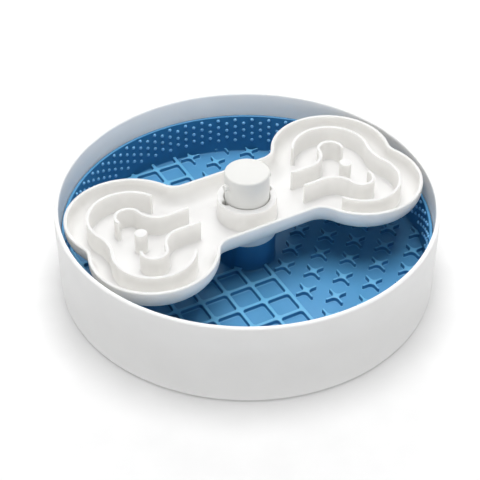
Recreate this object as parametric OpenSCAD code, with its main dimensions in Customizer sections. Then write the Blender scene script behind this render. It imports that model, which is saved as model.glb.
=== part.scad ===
/* [Bowl] */
// Outside diameter of the bowl
bowl_d = 245; // [235:1:265]
// Height of the lip above the surface that the bowl stands on
bowl_h = 59.5; // [58:0.5:62]
// Thickness of the bowl's wall
wall_t = 3; // [2.4:0.2:3.6]
// Height of the floor's upper face
floor_top = 8.9; // [8:0.1:9.5]
// Thickness of the bowl's floor
floor_t = 2.5; // [2:0.1:3]
// Radius of the fillet between the floor and the wall
floor_fillet = 2; // [1:0.5:2.5]

/* [Mat] */
// Thickness of the mat
mat_t = 2.6; // [2:0.1:3]
// Height of the mat's rim above its floor
mat_rise = 30.2; // [28:0.2:31]
// Thickness of the mat's wall
rim_w = 2; // [1.6:0.2:3]
// Height of the ridges and stars on the mat's floor
ridge_h = 3; // [2:0.5:4]
// Width of the ridges between the square cells
ridge_w = 2.4; // [1.6:0.2:2.6]
// Pitch of the square cells
cell_pitch = 17.6; // [15:0.2:20]
// Corner radius of a square cell
cell_corner = 2; // [1:0.5:3]
// Pitch of the rows and columns of stars, which fill every other place
star_pitch = 13.7; // [13:0.1:16]
// Half of a star's span from tip to tip
star_reach = 7.5; // [6:0.1:8]
// Half of the width of a star's arm
star_arm = 0.7; // [0.6:0.05:1]
// Radius of the hollow between two arms
star_hollow = 3; // [2.5:0.5:5]
// Turn of the mat's pattern against the tray
mat_turn = -1.1; // [-5:0.1:5]

/* [Tray] */
// Gap between the tray's tips and the bowl's wall
tray_gap = 2.25; // [1.5:0.25:4]
// Radius of the four round lobes
lobe_r = 40; // [38:0.5:41]
// Distance of the lobes' centres from the long axis
lobe_y = 18.5; // [17:0.5:20]
// Width of the shank between the lobes
shank_w = 63.6; // [60:0.4:66]
// Radius that blends the lobes into each other and into the shank
blend_r = 11; // [9:0.5:13]
// Radius of the tray's rounded underside
tray_belly = 13.6; // [12:0.2:13.6]
// Depth of the tray from its rim to its floor
tray_depth = 14.5; // [13:0.5:16]
// Thickness of the tray's floor
tray_floor_t = 2.5; // [2.2:0.1:3]
// Thickness of the tray's rim
tray_wall = 2.2; // [1.8:0.1:2.4]
// Thickness of the maze walls
maze_t = 2; // [1.6:0.1:2.4]
// Radius of the hook at the end of a maze wall
hook_r = 8; // [7:0.5:9]
// Radius of the bend before the hook
bend_r = 14; // [12:0.5:15]
// Distance of the straight maze walls from the long axis
lane_y = 8; // [7:0.5:9]
// Length of a straight maze wall
lane_len = 15.3; // [12:0.1:16]
// Diameter of the peg in each end of the tray
peg_d = 8; // [6:0.5:9]

/* [Post] */
// Diameter of the post
post_d = 28.6; // [27:0.2:29]
// Height of the post's top above the bowl's lip
post_above = 19; // [17:0.5:24]
// Depth of the lugs' axis below the post's top
lug_drop = 7.4; // [6:0.2:9]
// Diameter of a lug
lug_d = 4.4; // [3.6:0.2:4.8]
// How far a lug stands out of the post
lug_out = 2.5; // [2:0.1:2.6]
// Outside diameter of the hub and of the tray's collar
hub_d = 38.5; // [38:0.1:40]
// Length of hub that shows under the tray
hub_drop = 10; // [8:0.5:12]

/* [Feet] */
// Diameter of a rubber foot
foot_d = 16; // [12:1:20]
// Gap under the bowl's wall that the feet leave
foot_gap = 1.5; // [1:0.25:2.5]

/* [Hidden] */
$fn = 96;

// Small overlap that joins solids of one piece, and extra length of a cut
lap = 0.5;
// Room between pieces that move past each other
play = 0.3;
// Room between pieces that lie or drop into each other
slack = 0.5;

// Bowl
bowl_r = bowl_d / 2;
bowl_in = bowl_r - wall_t;

// Mat: it lies on the bowl's floor, and its wall stays clear of the bowl's
mat_floor = floor_top + mat_t;
mat_rim = mat_floor + mat_rise;
mat_r = bowl_in - slack;
mat_bevel = 2;
mat_wall_r = mat_r - rim_w;
star_crop = 4;
first_star_x = 14.3;
star_row_shift = 2.2;
cell_row_shift = -5;
cell_column_shift = 3.5;

// Tray: the lobes' centres follow from its reach, and each blend's centre from the two arcs that it joins
collar_top = bowl_h;
collar_rise = 0.5;
tray_reach = bowl_in - tray_gap;
lobe_x = sqrt(pow(tray_reach - lobe_r, 2) - pow(lobe_y, 2));
tray_top = collar_top - collar_rise;
tray_floor = tray_top - tray_depth;
tray_bottom = tray_floor - tray_floor_t;
blend_reach = lobe_r + blend_r;
waist_y = shank_w / 2 + blend_r;
waist_x = lobe_x - sqrt(pow(blend_reach, 2) - pow(waist_y - lobe_y, 2));
end_x = lobe_x + sqrt(pow(blend_reach, 2) - pow(lobe_y, 2));
waist_turn = atan2(waist_y - lobe_y, lobe_x - waist_x);
end_turn = atan2(lobe_y, end_x - lobe_x);
lobe_sweep = 180 - waist_turn + end_turn;
floor_edge = tray_belly + 1;

// Largest step in degrees along the tray's outline and walls, and number of steps round its belly
arc_step = 6;
belly_steps = 6;

// Maze: the ring wall stands just inside the flat floor, and the hook ends at an angle about its centre
ring_gap = 0.1;
ring_r = lobe_r - tray_belly - maze_t / 2 - ring_gap;
bend_y = lane_y + bend_r;
bend_x = lobe_x - sqrt(pow(bend_r + hook_r, 2) - pow(bend_y - lobe_y, 2));
hook_turn = atan2(bend_y - lobe_y, lobe_x - bend_x);
hook_end = -22;

// Post, hub and collar
post_r = post_d / 2;
post_top = bowl_h + post_above;
post_wall = 2.4;
post_edge = 1.2;
lug_z = post_top - lug_drop;
lug_reach = post_r + lug_out;
lug_dome = 0.8;
hub_r = hub_d / 2;
hub_bore = post_r + 2 * play;
hub_bottom = tray_bottom - hub_drop;
hub_edge = 1.2;
notch_w = lug_d + 1.4;
notch_reach = lug_reach + 1;
spigot_t = 2.1;
spigot_r = hub_bore + spigot_t;
spigot_h = 9.5;
key_w = 4;
key_out = 0.8;
chimney_bore = lug_reach + play;
chimney_r = hub_r - slack;
chimney_top = hub_bottom - play;
shoulder_r = chimney_bore - slack;

// Post fixing
gasket_t = 1;
post_base = floor_top + gasket_t;
screw_count = 3;
boss_inset = 2.4;
screw_ring = post_r - post_wall - boss_inset;
screw_r = 1.5;
screw_len = 12;
screw_hole = 1.7;
pilot_r = 1.3;
pilot_end = 1;
boss_r = 3.4;
head_r = 2.9;
head_h = 2.2;
recess_w = 0.8;
recess_len = 3.5;

// Feet
foot_r = foot_d / 2;
foot_inset = 7;
foot_edge = 1;
foot_ring = bowl_in - foot_r - foot_inset;
foot_pocket = 1.7;
pocket_r = foot_r + play;
boss_wall = 2;
boss_bottom = foot_gap + play;
foot_top = boss_bottom + foot_pocket;

module at_feet(index) {
  rotate(225 + 90 * index) translate([foot_ring, 0, 0]) children();
}

module at_screws() {
  for (i = [0 : screw_count - 1]) rotate(90 + 360 / screw_count * i) translate([screw_ring, 0, 0]) children();
}

// Both lugs' places, seen along the long axis
module at_both_sides() {
  for (side = [0, 180]) rotate(side) children();
}

// Slots along the long axis that let the lugs through
module lug_notches(low, high) {
  at_both_sides() translate([0, -notch_w / 2, low]) cube([notch_reach - notch_w / 2, notch_w, high - low]);
  at_both_sides() translate([notch_reach - notch_w / 2, 0, low]) cylinder(h = high - low, d = notch_w);
}

// Bowl
module bowl_profile() {
  translate([bowl_in, foot_gap]) square([wall_t, bowl_h - foot_gap - wall_t / 2]);
  translate([bowl_in + wall_t / 2, bowl_h - wall_t / 2]) circle(d = wall_t);
  translate([0, floor_top - floor_t]) square([bowl_in + lap, floor_t]);
  difference() {
    translate([bowl_in - floor_fillet, floor_top - lap]) square([floor_fillet + lap, floor_fillet + lap]);
    translate([bowl_in - floor_fillet, floor_top + floor_fillet]) circle(floor_fillet);
  }
}

module outer_bowl() {
  color("white") difference() {
    union() {
      rotate_extrude() bowl_profile();
      for (i = [0 : 3]) at_feet(i) translate([0, 0, boss_bottom])
        cylinder(h = floor_top - lap - boss_bottom, r = pocket_r + boss_wall);
    }
    for (i = [0 : 3]) at_feet(i) translate([0, 0, boss_bottom - lap])
      cylinder(h = foot_pocket + lap, r = pocket_r);
    at_screws() translate([0, 0, floor_top - floor_t - lap]) cylinder(h = floor_t + 2 * lap, r = screw_hole);
  }
}

// Mat
module mat_profile() {
  polygon([
    [chimney_bore, floor_top],
    [mat_r - mat_bevel, floor_top],
    [mat_r, floor_top + mat_bevel],
    [mat_r, mat_rim],
    [mat_wall_r, mat_rim],
    [mat_wall_r, mat_floor],
    [chimney_r, mat_floor],
    [chimney_r, chimney_top],
    [chimney_bore, chimney_top]
  ]);
}

module square_cell() {
  side = cell_pitch - ridge_w;
  inner = side - 2 * cell_corner;
  square([side, inner], center = true);
  square([inner, side], center = true);
  for (x = [-1, 1], y = [-1, 1]) translate([x, y] * inner / 2) circle(cell_corner);
}

// The half of the floor left of the dividing ridge, with the square cells cut out of it
module cell_grid() {
  cells = ceil(mat_r / cell_pitch);
  difference() {
    intersection() {
      circle(mat_wall_r + lap);
      translate([cell_column_shift + ridge_w / 2 - 2 * mat_r, -mat_r]) square(2 * mat_r);
    }
    circle(chimney_r - lap);
    for (i = [1 : cells], j = [-cells : cells])
      translate([(0.5 - i) * cell_pitch + cell_column_shift, j * cell_pitch + cell_row_shift]) square_cell();
  }
}

module star() {
  hollow_at = star_arm + star_hollow;
  for (turn = [0, 90]) rotate(turn) square([2 * (star_reach - star_arm), 2 * star_arm], center = true);
  for (turn = [0 : 90 : 270]) rotate(turn) translate([star_reach - star_arm, 0]) circle(star_arm);
  difference() {
    square(2 * hollow_at, center = true);
    for (x = [-1, 1], y = [-1, 1]) translate([x, y] * hollow_at) circle(star_hollow);
  }
}

function star_place(column, row) = [first_star_x + star_pitch * column, star_pitch * row + star_row_shift];
function star_fits(place) =
  norm(place) < mat_wall_r + star_crop && norm(place) - star_reach > chimney_r - star_crop;

module star_field() {
  reach = ceil(mat_r / star_pitch);
  intersection() {
    circle(mat_wall_r + lap);
    for (column = [0 : reach], row = [-reach : reach]) {
      place = star_place(column, row);
      if ((column + row) % 2 == 0 && star_fits(place)) translate(place) star();
    }
  }
}

module lick_mat() {
  color("steelblue") {
    rotate_extrude() mat_profile();
    translate([0, 0, mat_floor - lap]) rotate(mat_turn) linear_extrude(ridge_h + lap) {
      cell_grid();
      star_field();
    }
  }
}

// Places along an arc, each with the arc's centre, the direction from there and the radius, which is negative
// where the centre lies outside the line. With a shift of 0.5 they lie halfway between those of shift 0
function arc_places(centre, radius, start, sweep, shift = 0) =
  let (count = ceil(abs(sweep) / arc_step))
  [for (i = [0 : count - ceil(shift)]) let (turn = start + sweep * (i + shift) / count)
    [centre, [cos(turn), sin(turn)], radius]];

// A place's point, moved in from the line by inset
function spot(place, inset) = place[0] + place[1] * abs(place[2] - inset);
function spots(places, inset) = [for (place = places) spot(place, inset)];

// The places without the ones that the next arc repeats
function distinct(places) = let (count = len(places)) [for (i = [0 : count - 1])
  if (norm(spot(places[i], 0) - spot(places[(i + 1) % count], 0)) > 0.01) places[i]];

half_outline = concat(
  arc_places([end_x, 0], -blend_r, 180 + end_turn, -2 * end_turn),
  arc_places([lobe_x, lobe_y], lobe_r, -end_turn, lobe_sweep),
  arc_places([waist_x, waist_y], -blend_r, -waist_turn, waist_turn - 90),
  arc_places([-waist_x, waist_y], -blend_r, -90, waist_turn - 90),
  arc_places([-lobe_x, lobe_y], lobe_r, waist_turn, lobe_sweep)
);
outline = distinct(concat(half_outline, [for (place = half_outline) [-place[0], -place[1], place[2]]]));

// Section of the tray's edge as inset and height, round the rim, the belly and the hollow inside
function edge_arc(radius, low, from, to) = [for (i = [0 : belly_steps])
  let (turn = from + (to - from) * i / belly_steps)
  [tray_belly - radius * cos(turn), low + radius * (1 - sin(turn))]];

edge_section = concat(
  [[0, tray_top]],
  edge_arc(tray_belly, tray_bottom, 0, 90),
  [[floor_edge, tray_bottom], [floor_edge, tray_floor]],
  edge_arc(tray_belly - tray_wall, tray_floor, 90, 0),
  [[tray_wall, tray_top]]
);

// The rim and the rounded belly, swept round the outline
module tray_edge() {
  rings = [for (edge = edge_section) [for (point = spots(outline, edge[0])) [point.x, point.y, edge[1]]]];
  count = len(outline);
  last = len(rings);
  points = [for (ring = rings, point = ring) point];
  faces = [for (j = [0 : last - 1], i = [0 : count - 1])
    let (next_i = (i + 1) % count, next_j = (j + 1) % last)
    [j * count + i, j * count + next_i, next_j * count + next_i, next_j * count + i]];
  polyhedron(points, faces);
}

module tray_floor_plate() {
  translate([0, 0, tray_bottom]) linear_extrude(tray_floor_t) polygon(spots(outline, floor_edge - lap));
}

// A maze wall that stands on the floor along the places
module maze_wall(places) {
  far_side = spots(places, -maze_t / 2);
  last = len(places) - 1;
  translate([0, 0, tray_floor - lap]) linear_extrude(tray_depth + lap)
    polygon(concat(spots(places, maze_t / 2), [for (i = [0 : last]) far_side[last - i]]));
}

// The wall round both lobes of one end, with its corners between those of the outline
module ring_wall() {
  maze_wall(concat(
    arc_places([lobe_x, lobe_y], ring_r, 180 - waist_turn, -lobe_sweep, 0.5),
    arc_places([end_x, 0], ring_r - blend_reach, 180 - end_turn, 2 * end_turn, 0.5),
    arc_places([lobe_x, -lobe_y], ring_r, end_turn, -lobe_sweep, 0.5)
  ));
}

// The wall from the middle of the tray into the hook round a lobe's centre
module hook_wall() {
  maze_wall(distinct(concat(
    [[[bend_x - lane_len, bend_y], [0, -1], bend_r]],
    arc_places([bend_x, bend_y], bend_r, -90, 90 - hook_turn),
    arc_places([lobe_x, lobe_y], -hook_r, 180 - hook_turn, hook_end + hook_turn - 180)
  )));
}

module tray_bore() {
  translate([0, 0, tray_bottom - lap]) cylinder(h = collar_top - tray_bottom + 2 * lap, r = hub_bore);
  translate([0, 0, tray_bottom - lap]) cylinder(h = spigot_h + play + lap, r = spigot_r + play);
  lug_notches(tray_bottom - lap, collar_top + lap);
  key_slot = spigot_r + key_out + play;
  translate([-key_w / 2 - play, -key_slot, tray_bottom - lap])
    cube([key_w + 2 * play, 2 * key_slot, spigot_h + play + lap]);
}

module bone_tray() {
  color("white") difference() {
    union() {
      tray_edge();
      tray_floor_plate();
      for (flip_x = [0, 1]) mirror([flip_x, 0, 0]) {
        ring_wall();
        for (flip_y = [0, 1]) mirror([0, flip_y, 0]) hook_wall();
      }
      for (side = [-1, 1]) translate([side * lobe_x, 0, tray_floor - lap])
        cylinder(h = tray_depth + lap, d = peg_d);
      translate([0, 0, tray_bottom]) cylinder(h = collar_top - tray_bottom, r = hub_r);
    }
    tray_bore();
  }
}

// Hub
module hub_profile() {
  translate([hub_bore, hub_bottom]) square([hub_r - hub_edge - hub_bore, hub_drop]);
  translate([hub_bore, hub_bottom + hub_edge]) square([hub_r - hub_bore, hub_drop - hub_edge]);
  translate([hub_r - hub_edge, hub_bottom + hub_edge]) circle(hub_edge);
  translate([hub_bore, tray_bottom - lap]) square([spigot_r - hub_bore, spigot_h + lap]);
}

module hub_bush() {
  key_reach = spigot_r + key_out;
  color("white") difference() {
    union() {
      rotate_extrude() hub_profile();
      intersection() {
        translate([-key_w / 2, -key_reach, tray_bottom - lap]) cube([key_w, 2 * key_reach, spigot_h + lap]);
        translate([0, 0, tray_bottom - lap]) difference() {
          cylinder(h = spigot_h + lap, r = key_reach);
          translate([0, 0, -lap]) cylinder(h = spigot_h + 3 * lap, r = hub_bore + lap);
        }
      }
    }
    lug_notches(hub_bottom - lap, tray_bottom + spigot_h + lap);
  }
}

// Post
module post_profile() {
  square_top = post_top - post_edge;
  translate([0, hub_bottom - lap]) square([post_r, square_top - hub_bottom + lap]);
  translate([0, hub_bottom]) square([post_r - post_edge, post_top - hub_bottom]);
  translate([post_r - post_edge, square_top]) circle(post_edge);
  translate([0, post_base]) square([shoulder_r, hub_bottom - post_base]);
}

module post_lug() {
  end_r = lug_d / 2;
  neck = end_r - lug_dome;
  translate([0, 0, lug_z]) rotate([0, 90, 0]) {
    translate([0, 0, post_r - lap]) cylinder(h = lug_out - lug_dome + lap, r = end_r);
    rotate_extrude() translate([0, lug_reach - lug_dome]) {
      square([neck, lug_dome]);
      intersection() {
        translate([neck, 0]) circle(lug_dome);
        square([end_r, lug_dome]);
      }
    }
  }
}

module center_post() {
  boss_top = post_base + screw_len;
  bore = post_r - post_wall;
  color("white") difference() {
    union() {
      difference() {
        rotate_extrude() post_profile();
        translate([0, 0, post_base - lap]) cylinder(h = post_top - post_wall - post_base + lap, r = bore);
      }
      intersection() {
        at_screws() translate([0, 0, post_base]) cylinder(h = boss_top - post_base, r = boss_r);
        translate([0, 0, post_base]) cylinder(h = boss_top - post_base, r = bore + lap);
      }
      at_both_sides() post_lug();
    }
    at_screws() translate([0, 0, post_base - lap]) cylinder(h = screw_len - pilot_end + lap, r = pilot_r);
  }
}

module post_gasket() {
  color("dimgray") translate([0, 0, floor_top]) difference() {
    cylinder(h = gasket_t, r = shoulder_r);
    translate([0, 0, -lap]) cylinder(h = gasket_t + 2 * lap, r = screw_ring - boss_r);
    at_screws() translate([0, 0, -lap]) cylinder(h = gasket_t + 2 * lap, r = screw_hole);
  }
}

module post_screws() {
  head_top = floor_top - floor_t;
  color("silver") at_screws() difference() {
    union() {
      translate([0, 0, head_top - head_h]) cylinder(h = head_h, r = head_r);
      translate([0, 0, head_top - lap]) cylinder(h = screw_len + lap, r = screw_r);
    }
    for (turn = [0, 90]) rotate(turn) translate([-recess_len / 2, -recess_w / 2, head_top - head_h - lap])
      cube([recess_len, recess_w, head_h / 2 + lap]);
  }
}

// Feet
module foot(index) {
  color("dimgray") at_feet(index) rotate_extrude() {
    square([foot_r - foot_edge, foot_top]);
    translate([0, foot_edge]) square([foot_r, foot_top - foot_edge]);
    translate([foot_r - foot_edge, foot_edge]) circle(foot_edge);
  }
}

outer_bowl();
lick_mat();
bone_tray();
hub_bush();
center_post();
post_gasket();
post_screws();
foot(0);  // foot_front_left
foot(1);  // foot_front_right
foot(2);  // foot_back_right
foot(3);  // foot_back_left
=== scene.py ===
from math import acos, asin, atan2, ceil, cos, degrees, hypot, pi, radians, sin, sqrt, tan

import bmesh
import bpy
import numpy as np
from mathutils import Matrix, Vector
from mathutils.geometry import delaunay_2d_cdt


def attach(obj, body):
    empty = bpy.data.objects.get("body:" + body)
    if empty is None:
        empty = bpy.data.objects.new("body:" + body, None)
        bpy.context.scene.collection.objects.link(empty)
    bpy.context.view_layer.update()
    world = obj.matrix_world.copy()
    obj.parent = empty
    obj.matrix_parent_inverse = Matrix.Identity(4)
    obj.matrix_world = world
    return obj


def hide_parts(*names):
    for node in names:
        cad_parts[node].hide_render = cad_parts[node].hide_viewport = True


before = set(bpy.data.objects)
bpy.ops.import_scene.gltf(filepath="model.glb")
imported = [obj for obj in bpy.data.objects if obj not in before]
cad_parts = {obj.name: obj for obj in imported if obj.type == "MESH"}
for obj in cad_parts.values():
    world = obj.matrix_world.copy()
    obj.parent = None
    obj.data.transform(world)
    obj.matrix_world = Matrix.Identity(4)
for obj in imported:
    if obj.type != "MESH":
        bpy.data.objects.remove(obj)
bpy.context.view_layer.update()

# Sizes in millimetres, as in the part's source
MM = 0.001
BOWL_R, BOWL_H, WALL = 122.5, 59.5, 3.0
BOWL_IN = BOWL_R - WALL
FLOOR_TOP, FLOOR_LOW, FLOOR_FILLET, FOOT_GAP = 8.9, 6.4, 2.0, 1.5
FOOT_R, FOOT_RING, FOOT_TOP, BOSS_R, BOSS_LOW = 8.0, 104.5, 3.5, 10.3, 1.8
LIP_ROUND, FOOT_ROUND, UNDER_FILLET, POCKET_ROUND = 1.4, 0.5, 0.8, 0.3

MAT_R, MAT_WALL_R, MAT_FLOOR, MAT_RIM, MAT_BEVEL, MAT_TURN = 119.0, 117.0, 11.5, 41.7, 2.0, -1.1
CHIMNEY_R, CHIMNEY_BORE, CHIMNEY_TOP = 18.75, 17.1, 31.7
RIDGE_H, RIDGE_W, CELL_PITCH, CELL_CORNER, CELL_X, CELL_Y = 3.0, 2.4, 17.6, 2.0, 3.5, -5.0
STAR_PITCH, STAR_REACH, STAR_ARM, STAR_HOLLOW, STAR_X, STAR_Y = 13.7, 7.5, 0.7, 3.0, 14.3, 2.2
STAR_CROP, RIDGE_LAP = 4.0, 0.6

LOBE_R, LOBE_Y, SHANK_HALF, BLEND_R = 40.0, 18.5, 31.8, 11.0
TRAY_TOP, TRAY_FLOOR, TRAY_LOW, TRAY_BELLY, TRAY_WALL = 59.0, 44.5, 42.0, 13.6, 2.2
TRAY_REACH = BOWL_IN - 2.25
LOBE_X = sqrt((TRAY_REACH - LOBE_R) ** 2 - LOBE_Y ** 2)
BLEND_REACH = LOBE_R + BLEND_R
WAIST_Y = SHANK_HALF + BLEND_R
WAIST_X = LOBE_X - sqrt(BLEND_REACH ** 2 - (WAIST_Y - LOBE_Y) ** 2)
END_X = LOBE_X + sqrt(BLEND_REACH ** 2 - LOBE_Y ** 2)
WAIST_TURN = degrees(atan2(WAIST_Y - LOBE_Y, LOBE_X - WAIST_X))
END_TURN = degrees(atan2(LOBE_Y, END_X - LOBE_X))
LOBE_SWEEP = 180 - WAIST_TURN + END_TURN
FLOOR_EDGE, RIM_ROUND = TRAY_BELLY + 1, 0.8
MAZE_HALF, RING_R, HOOK_R, BEND_R = 1.0, 25.3, 8.0, 14.0
LANE_Y, LANE_LEN, HOOK_END, PEG_R = 8.0, 15.3, -22.0, 4.0
MAZE_FOOT, MAZE_EDGE, MAZE_END, PEG_EDGE = 0.8, 0.45, 0.3, 0.7
BEND_Y = LANE_Y + BEND_R
BEND_X = LOBE_X - sqrt((BEND_R + HOOK_R) ** 2 - (BEND_Y - LOBE_Y) ** 2)
HOOK_TURN = degrees(atan2(BEND_Y - LOBE_Y, LOBE_X - BEND_X))

POST_R, POST_TOP, POST_EDGE, POST_BASE, SHOULDER_R, SHOULDER_EDGE = 14.3, 78.5, 1.2, 9.9, 16.6, 0.4
LUG_Z, LUG_R, LUG_REACH, LUG_DOME, LUG_ROOT = 71.1, 2.2, 16.8, 0.8, POST_R - 1.5
HUB_R, HUB_BORE, HUB_LOW, HUB_EDGE = 19.25, 14.9, 32.0, 1.2
SPIGOT_R, SPIGOT_TOP, SPIGOT_FOOT, SPIGOT_EDGE = 17.0, 51.5, 0.1, 0.4
KEY_HALF, KEY_OUT, KEY_ROOT, KEY_ROUND, PLAY = 2.0, 0.8, SPIGOT_R - 1, 0.3, 0.3
NOTCH_HALF, NOTCH_REACH = 2.9, 17.8
COLLAR_TOP, COLLAR_FOOT, COLLAR_EDGE, BORE_EDGE = 59.5, 1.2, 0.7, 0.5
NOTCH_X = NOTCH_REACH - NOTCH_HALF


# Lines in the plan, as arrays of points

SQUARE = ((1, 1), (-1, 1), (-1, -1), (1, -1))


def unit(vector):
    return vector / np.linalg.norm(vector)


def arc(centre, radius, start, sweep, step=3.0):
    """Points along an arc, with angles in degrees."""
    steps = max(2, ceil(abs(sweep) / step))
    turns = np.radians(start + sweep * np.arange(steps + 1) / steps)
    return np.array(centre) + radius * np.column_stack((np.cos(turns), np.sin(turns)))


def distinct(line, nearest=1e-4):
    """The points without those that repeat the one before."""
    gaps = np.linalg.norm(line - np.roll(line, 1, axis=0), axis=1)
    return line[gaps > nearest]


def divided(line, longest):
    """A closed line with points added where two are further apart than longest."""
    return np.vstack([np.linspace(here, there, ceil(np.linalg.norm(there - here) / longest), endpoint=False)
                      for here, there in zip(line, np.roll(line, -1, axis=0))])


def circle(radius, centre=(0.0, 0.0), steps=96):
    return arc(centre, radius, 0, 360 - 360 / steps, 360 / steps)


def rounded(corners, steps=6):
    """The closed line through the corners (x, y, radius), each rounded by its radius."""
    line = []
    for i, (x, y, radius) in enumerate(corners):
        here = np.array((x, y))
        if radius == 0:
            line.append(here)
            continue
        back = unit(np.array(corners[i - 1][:2]) - here)
        ahead = unit(np.array(corners[(i + 1) % len(corners)][:2]) - here)
        half = acos(np.clip(back @ ahead, -1, 1)) / 2
        turn = pi - 2 * half
        centre = here + unit(back + ahead) * radius / sin(half)
        first = here + back * radius / tan(half) - centre
        last = here + ahead * radius / tan(half) - centre
        for share in np.arange(steps + 1) / steps:
            line.append(centre + (sin((1 - share) * turn) * first + sin(share * turn) * last) / sin(turn))
    return np.array(line)


def outset(line, distance, sharpest=0.8):
    """A closed line moved to its right by distance, which is outwards when it runs counter-clockwise.

    The value sharpest limits how far a sharp corner moves.
    """
    ahead = np.roll(line, -1, axis=0) - line
    ahead /= np.linalg.norm(ahead, axis=1, keepdims=True)
    side = np.column_stack((ahead[:, 1], -ahead[:, 0]))
    both = side + np.roll(side, 1, axis=0)
    return line + distance * 2 * both / np.maximum((both ** 2).sum(axis=1, keepdims=True), sharpest)


# Solids, as points and faces

EVERY_TRIANGLE, INSIDE_WITH_HOLES = 0, 2
NET_TOLERANCE = 1e-5


def grid_faces(rows, columns, close_rows):
    """Quads between neighbouring rows of points, closed along the columns."""
    last = rows if close_rows else rows - 1
    return [(i * columns + j, i * columns + (j + 1) % columns,
             (i + 1) % rows * columns + (j + 1) % columns, (i + 1) % rows * columns + j)
            for i in range(last) for j in range(columns)]


def merge(parts):
    """Several solids as one list of points and faces."""
    points, faces, base = [], [], 0
    for some_points, some_faces in parts:
        points.append(some_points)
        faces += [tuple(base + i for i in face) for face in some_faces]
        base += len(some_points)
    return np.vstack(points), faces


def placed(part, at=(0, 0, 0), turn=0.0):
    """A solid turned about the Z axis in degrees, then moved."""
    points, faces = part
    c, s = cos(radians(turn)), sin(radians(turn))
    return points @ np.array([[c, s, 0], [-s, c, 0], [0, 0, 1]]) + np.array(at), faces


def revolve(section, segments=192):
    """A closed section (radius, height) turned about the Z axis."""
    turns = 2 * pi * np.arange(segments) / segments
    rows = [np.column_stack((r * np.cos(turns), r * np.sin(turns), np.full(segments, z)))
            for r, z in section]
    return np.vstack(rows), grid_faces(len(rows), segments, True)


def walls(line, section):
    """Sides that follow a closed line, with the section (outset, height) from one end to the other."""
    rows = [np.column_stack((outset(line, out), np.full(len(line), height))) for out, height in section]
    return np.vstack(rows), grid_faces(len(rows), len(line), False)


def flat_net(lines, kind):
    """Points and faces of a flat net over closed lines, and for each face the lines that it lies inside."""
    rings, base = [], 0
    for line in lines:
        rings.append(list(range(base, base + len(line))))
        base += len(line)
    corners = [Vector(point) for point in np.vstack(lines).tolist()]
    points, _, faces, _, _, inside = delaunay_2d_cdt(corners, [], rings, kind, NET_TOLERANCE)
    return np.array([tuple(point) for point in points]), [tuple(face) for face in faces], inside


def cap(lines, height):
    """A flat face between closed lines, the first outside and the others its holes."""
    points, faces, _ = flat_net(lines, INSIDE_WITH_HOLES)
    return np.column_stack((points, np.full(len(points), height))), faces


def outlines(lines, wanted):
    """The closed lines round every place that lies inside the wanted ones of the lines and no others."""
    points, faces, inside = flat_net(lines, EVERY_TRIANGLE)
    sides = {(face[i - 1], face[i]) for face, within in zip(faces, inside) if set(within) == wanted
             for i in range(3)}
    ahead = {here: there for here, there in sides if (there, here) not in sides}
    found = []
    while ahead:
        start, here = ahead.popitem()
        line = [start]
        while here != start:
            line.append(here)
            here = ahead.pop(here)
        found.append(points[line])
    return found


def moulding(lines, section):
    """A solid whose sides follow closed lines, holes clockwise, with the section (outset, height) upwards."""
    ends = [cap([outset(line, out) for line in lines], height) for out, height in (section[0], section[-1])]
    return merge([walls(line, section) for line in lines] + ends)


def upright(low, high, foot, edge, sunk=0.5, steps=4):
    """Section of a moulded wall: sunk into what it stands on, a fillet at its foot and a rounded top edge."""
    quarter = [pi / 2 * i / steps for i in range(steps + 1)]
    return ([(foot, low - sunk)]
            + [(foot * (1 - sin(a)), low + foot * (1 - cos(a))) for a in quarter]
            + [(-edge * (1 - cos(a)), high - edge * (1 - sin(a))) for a in quarter])


# Materials

def colour_ramp(nodes, positions, colours):
    """A new node that blends the colours between their positions from 0 to 1."""
    node = nodes.new("ShaderNodeValToRGB")
    ramp = node.color_ramp
    for _ in positions[2:]:
        ramp.elements.new(1.0)
    for element, position, colour in zip(ramp.elements, positions, colours):
        element.position, element.color = position, (*colour, 1.0)
    return node


PLAIN = (1.0, 1.0, 1.0)
GRAIN_DEPTH = 0.0002


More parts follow.
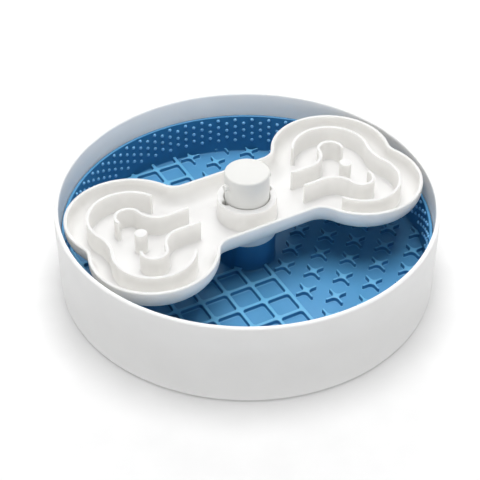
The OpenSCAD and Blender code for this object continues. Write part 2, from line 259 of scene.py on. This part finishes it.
def moulded(name, tones, roughness, grain, relief, painted_light_up=PLAIN, under=PLAIN, **sockets):
    """A moulded material: tone and gloss drift slowly over it, and a fine grain breaks its highlights.

    Faces that look up have the tone times painted_light_up, and those that look down have it times under:
    light and shade painted into the colour by the way a face looks, not the material's own colour.
    """
    material = bpy.data.materials.new(name)
    material.use_nodes = True
    nodes, links = material.node_tree.nodes, material.node_tree.links
    shader = nodes["Principled BSDF"]
    place = nodes.new("ShaderNodeTexCoord")

    def noise(scale, detail):
        node = nodes.new("ShaderNodeTexNoise")
        node.inputs["Scale"].default_value = scale
        node.inputs["Detail"].default_value = detail
        links.new(place.outputs["Object"], node.inputs["Vector"])
        return node.outputs["Fac"]

    tone = colour_ramp(nodes, (0.35, 0.65), tones)
    links.new(noise(scale=40.0, detail=4.0), tone.inputs["Fac"])
    # Painted light and shade: the tone is multiplied by one colour on faces that look up and by another on
    # faces that look down.
    facing = nodes.new("ShaderNodeSeparateXYZ")
    links.new(place.outputs["Normal"], facing.inputs["Vector"])
    lift = nodes.new("ShaderNodeMapRange")
    lift.inputs["From Min"].default_value = -1.0
    links.new(facing.outputs["Z"], lift.inputs["Value"])
    shade = colour_ramp(nodes, (0.0, 0.5, 1.0), (under, PLAIN, painted_light_up))
    links.new(lift.outputs["Result"], shade.inputs["Fac"])
    product = nodes.new("ShaderNodeVectorMath")
    product.operation = "MULTIPLY"
    links.new(tone.outputs["Color"], product.inputs[0])
    links.new(shade.outputs["Color"], product.inputs[1])
    links.new(product.outputs["Vector"], shader.inputs["Base Color"])

    gloss = nodes.new("ShaderNodeMapRange")
    gloss.inputs["To Min"].default_value, gloss.inputs["To Max"].default_value = roughness
    links.new(noise(scale=120.0, detail=3.0), gloss.inputs["Value"])
    links.new(gloss.outputs["Result"], shader.inputs["Roughness"])

    bump = nodes.new("ShaderNodeBump")
    bump.inputs["Strength"].default_value = relief
    bump.inputs["Distance"].default_value = GRAIN_DEPTH
    links.new(noise(scale=grain, detail=2.0), bump.inputs["Height"])
    links.new(bump.outputs["Normal"], shader.inputs["Normal"])
    for socket, value in sockets.items():
        shader.inputs[socket.replace("_", " ")].default_value = value
    return material


WHITE = moulded("white_plastic", ((0.815, 0.815, 0.81), (0.835, 0.835, 0.83)), roughness=(0.30, 0.42),
                grain=1800.0, relief=0.06,
                Subsurface_Weight=0.4, Subsurface_Radius=PLAIN, Subsurface_Scale=0.004)
# Tray and hub: a lighter copy of the white plastic, with painted shade on faces that look up and a painted
# warm tint on faces that look down, against the blue light bounced from the mat.
TRAY_WHITE_PAINTED_LIGHT = moulded("tray_plastic_painted_light", ((0.935, 0.925, 0.90), (0.955, 0.945, 0.92)), roughness=(0.32, 0.44),
                     grain=1800.0, relief=0.06, painted_light_up=(0.75, 0.755, 0.77), under=(1.0, 0.92, 0.78))
# Post: a darker copy of the white plastic, with painted shade, darker still on faces that look up.
POST_WHITE_PAINTED_SHADE = moulded("post_plastic_painted_shade", ((0.72, 0.72, 0.70), (0.75, 0.75, 0.73)), roughness=(0.32, 0.44),
                     grain=1800.0, relief=0.06, painted_light_up=(0.88, 0.88, 0.88))
BLUE_TONES = (0.018, 0.160, 0.36), (0.022, 0.172, 0.385)
# Mat: painted light and painted sheen on faces that look up, which lift red and green more than blue.
BLUE_PAINTED_LIGHT = moulded("blue_rubber_painted_light", BLUE_TONES, roughness=(0.42, 0.52), grain=2200.0, relief=0.08,
               painted_light_up=(4.5, 1.98, 1.6))
# Ridges and stars: the mat's rubber again, with stronger painted light and painted sheen on their tops.
RIDGE_BLUE_PAINTED_LIGHT = moulded("ridge_rubber_painted_light", BLUE_TONES, roughness=(0.42, 0.52), grain=2200.0, relief=0.08,
                     painted_light_up=(8.0, 2.95, 2.05))
# Pips: painted highlight, a much lighter blue than the mat's rubber, lighter again on their upper halves.
PIP_BLUE_PAINTED_HIGHLIGHT = moulded("pip_rubber_painted_highlight", ((0.19, 0.48, 0.76), (0.22, 0.51, 0.80)), roughness=(0.30, 0.40),
                   grain=2200.0, relief=0.06, painted_light_up=(1.2, 1.2, 1.2))
DARK = moulded("dark_rubber", ((0.018, 0.018, 0.018), (0.03, 0.03, 0.03)), roughness=(0.6, 0.8),
               grain=2500.0, relief=0.3)
STEEL = moulded("screw_steel", ((0.50, 0.50, 0.51), (0.60, 0.60, 0.60)), roughness=(0.25, 0.4),
                grain=3000.0, relief=0.1, Metallic=1.0)

# Smallest angle in degrees that shows as an edge, and distance in metres at which points become one
EDGE_ANGLE, JOIN_DISTANCE = 40, 1e-6


def linked(name, data):
    """A new object in the scene."""
    made = bpy.data.objects.new(name, data)
    bpy.context.scene.collection.objects.link(made)
    return made


def piece(name, parts, material, body, replaces=()):
    """A shown piece made of solids, riding on a body."""
    points, faces = merge(parts)
    mesh = bpy.data.meshes.new(name)
    mesh.from_pydata((points * MM).tolist(), [], faces)
    work = bmesh.new()
    work.from_mesh(mesh)
    bmesh.ops.remove_doubles(work, verts=work.verts, dist=JOIN_DISTANCE)
    bmesh.ops.recalc_face_normals(work, faces=work.faces)
    work.to_mesh(mesh)
    work.free()
    mesh.shade_smooth()
    mesh.set_sharp_from_angle(angle=radians(EDGE_ANGLE))
    mesh.materials.append(material)
    made = linked(name, mesh)
    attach(made, body)
    if replaces:
        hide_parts(*replaces)


# Bowl

def bowl_shell():
    """The bowl, and under its floor the four bosses with a pocket for a foot."""
    shell = revolve(rounded([
        (BOWL_R, FOOT_GAP, FOOT_ROUND), (BOWL_R, BOWL_H, LIP_ROUND), (BOWL_IN, BOWL_H, LIP_ROUND),
        (BOWL_IN, FLOOR_TOP, FLOOR_FILLET), (0, FLOOR_TOP, 0), (0, FLOOR_LOW, 0),
        (BOWL_IN, FLOOR_LOW, UNDER_FILLET), (BOWL_IN, FOOT_GAP, FOOT_ROUND)]), segments=288)
    pocket, boss_top = FOOT_R + PLAY, FLOOR_LOW + 1
    points, faces = revolve(rounded([
        (0, FOOT_TOP, 0), (pocket, FOOT_TOP, 0), (pocket, BOSS_LOW, POCKET_ROUND),
        (BOSS_R, BOSS_LOW, FOOT_ROUND), (BOSS_R, boss_top, 0), (0, boss_top, 0)]), segments=64)
    return [shell] + [placed((points + (FOOT_RING, 0, 0), faces), turn=45 + 90 * i) for i in range(4)]


def center_post():
    """The post with its shoulder under the hub, and a lug on either side."""
    post = revolve(rounded([
        (0, POST_TOP, 0), (0, POST_BASE, 0), (SHOULDER_R, POST_BASE, 0), (SHOULDER_R, HUB_LOW, SHOULDER_EDGE),
        (POST_R, HUB_LOW, 0), (POST_R, POST_TOP, POST_EDGE)]), segments=96)
    points, faces = revolve(rounded([
        (0, LUG_ROOT, 0), (LUG_R, LUG_ROOT, 0), (LUG_R, LUG_REACH, LUG_DOME),
        (0, LUG_REACH, 0)]), segments=48)
    lug = points[:, [2, 0, 1]] + (0, 0, LUG_Z), faces
    return [post, lug, placed(lug, turn=180)]


# Mat

def mat_body():
    """The mat's floor, its wall and the chimney round the post."""
    tip, edge, bend, foot = 0.4, 0.5, 1.0, 1.2
    return revolve(rounded([
        (CHIMNEY_BORE, FLOOR_TOP, tip), (MAT_R - MAT_BEVEL, FLOOR_TOP, bend),
        (MAT_R, FLOOR_TOP + MAT_BEVEL, bend), (MAT_R, MAT_RIM, edge), (MAT_WALL_R, MAT_RIM, edge),
        (MAT_WALL_R, MAT_FLOOR, bend), (CHIMNEY_R, MAT_FLOOR, foot), (CHIMNEY_R, CHIMNEY_TOP, tip),
        (CHIMNEY_BORE, CHIMNEY_TOP, tip)]), segments=288)


def mat_cells():
    """The ridges between the square cells, on the half left of the dividing ridge."""
    half = (CELL_PITCH - RIDGE_W) / 2
    corners = [(x * half, y * half, CELL_CORNER) for x, y in SQUARE]
    cell = divided(rounded(corners), longest=1.5)
    edge, inner, outer = CELL_X + RIDGE_W / 2, CHIMNEY_R - RIDGE_LAP, MAT_WALL_R + RIDGE_LAP
    tip, root = degrees(acos(edge / outer)), degrees(acos(edge / inner))
    field = np.vstack((arc((0, 0), outer, tip, 360 - 2 * tip),
                       arc((0, 0), inner, 360 - root, 2 * root - 360)))
    count = ceil(MAT_R / CELL_PITCH)
    cells = [cell + (CELL_X - (i + 0.5) * CELL_PITCH, CELL_Y + j * CELL_PITCH)
             for i in range(count) for j in range(-count, count + 1)]
    section = upright(MAT_FLOOR, MAT_FLOOR + RIDGE_H, foot=0.7, edge=0.6)
    return placed(moulding(outlines([field] + cells, {0}), section), turn=MAT_TURN)


def star_line():
    """Outline of a star of four arms with round tips and round hollows between them."""
    hollow = STAR_ARM + STAR_HOLLOW
    arm = np.vstack((arc((STAR_REACH - STAR_ARM, 0), STAR_ARM, -90, 180, step=20),
                     arc((hollow, hollow), STAR_HOLLOW, -90, -90, step=15)))
    turns = [np.array([[cos(a), sin(a)], [-sin(a), cos(a)]]) for a in (0, pi / 2, pi, 3 * pi / 2)]
    return np.vstack([arm @ turn for turn in turns])


def mat_stars():
    """The stars on the other half, in every other place of a square grid, cut off at the mat's wall."""
    star, field = star_line(), circle(MAT_WALL_R + RIDGE_LAP, steps=180)
    section = upright(MAT_FLOOR, MAT_FLOOR + RIDGE_H, foot=0.6, edge=0.5)
    reach = ceil(MAT_R / STAR_PITCH)
    stars = []
    for column in range(reach + 1):
        for row in range(-reach, reach + 1):
            x, y = STAR_X + STAR_PITCH * column, STAR_Y + STAR_PITCH * row
            out = hypot(x, y)
            fits = CHIMNEY_R - STAR_CROP < out - STAR_REACH and out < MAT_WALL_R + STAR_CROP
            if (column + row) % 2 == 0 and fits:
                shown = outlines([field, star + (x, y)], {0, 1})
                stars.append(placed(moulding(shown, section), turn=MAT_TURN))
    return stars


PIP_COLUMNS, PIP_R, PIP_SUNK, PIP_TURN = 120, 1.35, 0.15, 4.4
PIP_HIGHEST, PIP_STEP = 38.8, 2.9
PIP_ROWS = ((0, 2, 4, 6), (1, 3, 5))
PIP_RINGS = (0, 25, 50, 75, 95, 115)


def mat_pips():
    """Round pips on the inside of the mat's wall, in columns of four and three by turns."""
    ball = [(PIP_R * sin(a), PIP_R * cos(a)) for a in np.radians(PIP_RINGS)]
    points, faces = revolve(ball + [(0, ball[-1][1])], segments=12)
    inward = points[:, [2, 1, 0]] * (-1, 1, 1) + (MAT_WALL_R + PIP_SUNK, 0, 0)
    return [placed((inward + (0, 0, PIP_HIGHEST - PIP_STEP * row), faces),
                   turn=PIP_TURN + 360 / PIP_COLUMNS * column)
            for column in range(PIP_COLUMNS) for row in PIP_ROWS[column % 2]]


# Tray

def bone_places(step=2.0):
    """Centres, directions and radii along the bone's outline, the radius negative where it is hollow."""
    arcs = [((END_X, 0), -BLEND_R, 180 + END_TURN, -2 * END_TURN),
            ((LOBE_X, LOBE_Y), LOBE_R, -END_TURN, LOBE_SWEEP),
            ((WAIST_X, WAIST_Y), -BLEND_R, -WAIST_TURN, WAIST_TURN - 90),
            ((-WAIST_X, WAIST_Y), -BLEND_R, -90, WAIST_TURN - 90),
            ((-LOBE_X, LOBE_Y), LOBE_R, WAIST_TURN, LOBE_SWEEP)]
    places = []
    for centre, radius, start, sweep in arcs:
        ways = arc((0, 0), 1.0, start, sweep, step if radius > 0 else 2 * step)
        ways = ways[1:-1] if radius > 0 else ways
        places += [(np.array(centre), way, radius) for way in ways]
    return places + [(-centre, -way, radius) for centre, way, radius in places]


def bone_line(places, inset):
    """The bone's outline, moved in by inset."""
    return np.array([centre + way * abs(radius - inset) for centre, way, radius in places])


def wall_line(path):
    """Outline of a maze wall along an open path, with its four end edges slightly rounded."""
    ahead = np.gradient(path, axis=0)
    ahead /= np.linalg.norm(ahead, axis=1, keepdims=True)
    side = MAZE_HALF * np.column_stack((ahead[:, 1], -ahead[:, 0]))
    corners = [(x, y, 0) for x, y in np.vstack((path + side, (path - side)[::-1]))]
    for i in (0, len(path) - 1, len(path), -1):
        corners[i] = (*corners[i][:2], MAZE_END)
    return rounded(corners, steps=3)


def mirrored(line, flip_x, flip_y):
    """A closed line mirrored in one or both axes, still running the same way round."""
    turned = line * (-1 if flip_x else 1, -1 if flip_y else 1)
    return turned if flip_x == flip_y else turned[::-1]


def maze_lines():
    """Outlines of the wall round the two lobes of each end, and of the four walls that end in a hook."""
    ring = wall_line(distinct(np.vstack((
        arc((LOBE_X, LOBE_Y), RING_R, 180 - WAIST_TURN, -LOBE_SWEEP),
        arc((END_X, 0), BLEND_REACH - RING_R, 180 - END_TURN, 2 * END_TURN),
        arc((LOBE_X, -LOBE_Y), RING_R, END_TURN, -LOBE_SWEEP)))))
    lane = np.linspace((BEND_X - LANE_LEN, LANE_Y), (BEND_X, LANE_Y), 8)
    hook = wall_line(distinct(np.vstack((
        lane, arc((BEND_X, BEND_Y), BEND_R, -90, 90 - HOOK_TURN),
        arc((LOBE_X, LOBE_Y), HOOK_R, 180 - HOOK_TURN, HOOK_END + HOOK_TURN - 180, step=6)))))
    lines = [mirrored(ring, flip, False) for flip in (False, True)]
    return lines + [mirrored(hook, fx, fy) for fx in (False, True) for fy in (False, True)]


def notch_mouth(radius):
    """Where a lug notch meets a bore: the angle about the post, and the angle about the notch's round end."""
    if radius < hypot(NOTCH_X, NOTCH_HALF):
        return degrees(asin(NOTCH_HALF / radius)), 90.0
    mouth = acos((radius ** 2 + NOTCH_X ** 2 - NOTCH_HALF ** 2) / (2 * radius * NOTCH_X))
    return degrees(mouth), degrees(atan2(radius * sin(mouth), radius * cos(mouth) - NOTCH_X))


def notch_end(radius):
    """The end of the notch on the left of a bore, clockwise."""
    spread = notch_mouth(radius)[1]
    return arc((-NOTCH_X, 0), NOTCH_HALF, 180 + spread, -2 * spread, step=12)


def bore_line():
    """The bore round the post, clockwise, with the notches along the X axis that let the lugs through."""
    mouth = notch_mouth(HUB_BORE)[0]
    half = np.vstack((arc((0, 0), HUB_BORE, -mouth, 2 * mouth - 180), notch_end(HUB_BORE)))
    return distinct(np.vstack((half, -half)))


def socket_line():
    """The bore for the spigot, clockwise, with its notches and the slots along the Y axis for the keys."""
    radius, slot, reach = SPIGOT_R + PLAY, KEY_HALF + PLAY, SPIGOT_R + KEY_OUT + PLAY
    mouth, side = notch_mouth(radius)[0], degrees(asin(slot / radius))
    quarter = 90 - mouth - side
    half = np.vstack((arc((0, 0), radius, -mouth, -quarter), [(slot, -reach), (-slot, -reach)],
                      arc((0, 0), radius, -90 - side, -quarter), notch_end(radius)))
    return distinct(np.vstack((half, -half)))


def spigot_line():
    """One half of the spigot, which the notches part in two."""
    outer, spread = notch_mouth(SPIGOT_R)
    inner = notch_mouth(HUB_BORE)[0]
    return np.vstack((arc((0, 0), SPIGOT_R, outer, 180 - 2 * outer),
                      arc((-NOTCH_X, 0), NOTCH_HALF, 180 - spread, spread - 90, step=12),
                      arc((0, 0), HUB_BORE, 180 - inner, 2 * inner - 180),
                      arc((NOTCH_X, 0), NOTCH_HALF, 90, spread - 90, step=12)))


def tray_rim(places):
    """The tray's rim and rounded belly, from the edge of the flat floor round to its underside."""
    edge = rounded([(FLOOR_EDGE, TRAY_FLOOR, 0), (TRAY_WALL, TRAY_FLOOR, TRAY_BELLY - TRAY_WALL),
                    (TRAY_WALL, TRAY_TOP, RIM_ROUND), (0, TRAY_TOP, RIM_ROUND), (0, TRAY_LOW, TRAY_BELLY),
                    (FLOOR_EDGE, TRAY_LOW, 0)], steps=10)
    rows = [np.column_stack((bone_line(places, inset), np.full(len(places), height)))
            for inset, height in edge]
    return np.vstack(rows), grid_faces(len(rows), len(places), False)


def tray_collar(inner):
    """The flat floor inside the line inner, and the collar round the bore with the socket for the spigot."""
    collar, bore, socket = circle(HUB_R), bore_line(), socket_line()
    ledge = SPIGOT_TOP + PLAY
    outside = upright(TRAY_FLOOR, COLLAR_TOP, COLLAR_FOOT, COLLAR_EDGE, sunk=0)[1:]
    bevel = 0.3 * BORE_EDGE
    inside = [(-BORE_EDGE, COLLAR_TOP), (-bevel, COLLAR_TOP - bevel), (0, COLLAR_TOP - BORE_EDGE), (0, ledge)]
    return [cap([inner, outset(collar, outside[0][0])], TRAY_FLOOR), cap([inner, socket], TRAY_LOW),
            walls(collar, outside),
            cap([outset(collar, outside[-1][0]), outset(bore, -BORE_EDGE)], COLLAR_TOP),
            walls(bore, inside), cap([socket, bore], ledge), walls(socket, [(0, ledge), (0, TRAY_LOW)])]


def tray_shell():
    places = bone_places()
    section = upright(TRAY_FLOOR, TRAY_TOP, MAZE_FOOT, MAZE_EDGE)
    peg_section = upright(TRAY_FLOOR, TRAY_TOP, MAZE_FOOT, PEG_EDGE)
    parts = [tray_rim(places)] + tray_collar(bone_line(places, FLOOR_EDGE))
    parts += [moulding([line], section) for line in maze_lines()]
    return parts + [moulding([circle(PEG_R, (side * LOBE_X, 0), steps=48)], peg_section) for side in (-1, 1)]


def hub():
    """The hub round the post, and on it the two halves of the spigot with their keys."""
    ring, bore = circle(HUB_R), bore_line()
    quarter = np.radians(np.arange(0, 91, 15))
    rounding = [(HUB_EDGE * (sin(a) - 1), HUB_LOW + HUB_EDGE * (1 - cos(a))) for a in quarter]
    parts = [walls(ring, rounding + [(0, TRAY_LOW)]), cap([outset(ring, -HUB_EDGE), bore], HUB_LOW),
             walls(bore, [(0, HUB_LOW), (0, TRAY_LOW)]), cap([ring, bore], TRAY_LOW)]
    section = upright(TRAY_LOW, SPIGOT_TOP, SPIGOT_FOOT, SPIGOT_EDGE)
    tip = SPIGOT_R + KEY_OUT - SPIGOT_FOOT
    key = rounded([(-KEY_HALF, KEY_ROOT, 0), (KEY_HALF, KEY_ROOT, 0), (KEY_HALF, tip, KEY_ROUND),
                   (-KEY_HALF, tip, KEY_ROUND)])
    return parts + [moulding([line * side], section) for line in (spigot_line(), key) for side in (1, -1)]


piece("bowl_shell", bowl_shell(), WHITE, "bowl", ["outer_bowl"])
piece("post_body", center_post(), POST_WHITE_PAINTED_SHADE, "bowl", ["center_post"])
piece("mat_body", [mat_body()], BLUE_PAINTED_LIGHT, "mat", ["lick_mat"])
piece("mat_cells", [mat_cells()], RIDGE_BLUE_PAINTED_LIGHT, "mat")
piece("mat_stars", mat_stars(), RIDGE_BLUE_PAINTED_LIGHT, "mat")
piece("mat_pips", mat_pips(), PIP_BLUE_PAINTED_HIGHLIGHT, "mat")
piece("tray_shell", tray_shell(), TRAY_WHITE_PAINTED_LIGHT, "tray", ["bone_tray"])
piece("hub_body", hub(), TRAY_WHITE_PAINTED_LIGHT, "hub", ["hub_bush"])
for node, material in (("post_gasket", DARK), ("post_screws", STEEL), ("foot_front_left", DARK),
                       ("foot_front_right", DARK), ("foot_back_left", DARK), ("foot_back_right", DARK)):
    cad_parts[node].data.materials.clear()
    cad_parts[node].data.materials.append(material)


# Floor, light and camera

FLOOR_HALF = 20.0
GLOW_FROM, GLOW_TO, GLOW_LEAST, GLOW_MOST = 0.3, 2.0, 0.02, 1.0
SKY_HEIGHTS = (0.48, 0.5, 0.6, 0.70)
LIGHT_AIM = (0, 0, 0.03)


def point_at(made, place, aim):
    """Put a light or a camera at a place, looking at aim."""
    made.location = place
    made.rotation_euler = (Vector(aim) - Vector(place)).to_track_quat("-Z", "Y").to_euler()


def floor():
    """A pale floor that glows more and more away from the part, so that it meets the studio without an edge.

    It throws no light back at the part: the studio below the horizon stands in for that.
    """
    mesh = bpy.data.meshes.new("floor")
    corners = [(x * FLOOR_HALF, y * FLOOR_HALF, 0) for x, y in SQUARE]
    mesh.from_pydata(corners, [], [(0, 1, 2, 3)])
    made = linked("floor", mesh)
    pale = moulded("pale_floor", ((0.84, 0.84, 0.84), (0.86, 0.86, 0.86)), roughness=(0.9, 1.0), grain=400.0,
                   relief=0.0, Specular_IOR_Level=0.0, Emission_Color=(*PLAIN, 1.0))
    nodes, links = pale.node_tree.nodes, pale.node_tree.links
    away = nodes.new("ShaderNodeVectorMath")
    away.operation = "LENGTH"
    links.new(nodes["Texture Coordinate"].outputs["Object"], away.inputs[0])
    glow = nodes.new("ShaderNodeMapRange")
    glow.inputs["From Min"].default_value, glow.inputs["From Max"].default_value = GLOW_FROM, GLOW_TO
    glow.inputs["To Min"].default_value, glow.inputs["To Max"].default_value = GLOW_LEAST, GLOW_MOST
    links.new(away.outputs["Value"], glow.inputs["Value"])
    links.new(glow.outputs["Result"], nodes["Principled BSDF"].inputs["Emission Strength"])
    mesh.materials.append(pale)
    made.visible_diffuse = False


def area_light(name, place, size, power):
    data = bpy.data.lights.new(name, "AREA")
    data.shape, data.size, data.energy = "DISK", size, power
    point_at(linked(name, data), place, LIGHT_AIM)


def camera(eye, aim, lens):
    data = bpy.data.cameras.new("camera")
    data.lens, data.sensor_width = lens, 36.0
    made = linked("camera", data)
    point_at(made, eye, aim)
    bpy.context.scene.camera = made


def sky(below, low, overhead):
    """A white studio round the floor, brightest low down, so that it lights walls more than floors."""
    world = bpy.data.worlds.new("studio")
    world.use_nodes = True
    nodes, links = world.node_tree.nodes, world.node_tree.links
    height = nodes.new("ShaderNodeSeparateXYZ")
    links.new(nodes.new("ShaderNodeTexCoord").outputs["Generated"], height.inputs["Vector"])
    share = nodes.new("ShaderNodeMapRange")
    share.inputs["From Min"].default_value = -1.0
    links.new(height.outputs["Z"], share.inputs["Value"])
    strengths = [(strength,) * 3 for strength in (below, low, low, overhead)]
    ramp = colour_ramp(nodes, SKY_HEIGHTS, strengths)
    links.new(share.outputs["Result"], ramp.inputs["Fac"])
    links.new(ramp.outputs["Color"], nodes["Background"].inputs["Color"])
    bpy.context.scene.world = world


floor()
sky(below=0.66, low=2.0, overhead=0.1)
area_light("top_softbox", (0.02, 0.02, 1.35), size=1.1, power=17.5)
area_light("back_softbox", (0.52, 0.98, 1.02), size=1.0, power=5.5)
camera(eye=(-0.2978, -0.5171, 0.5163), aim=(-0.0039, 0.0022, 0.0226), lens=88.5)
bpy.context.scene.view_settings.view_transform = "Standard"
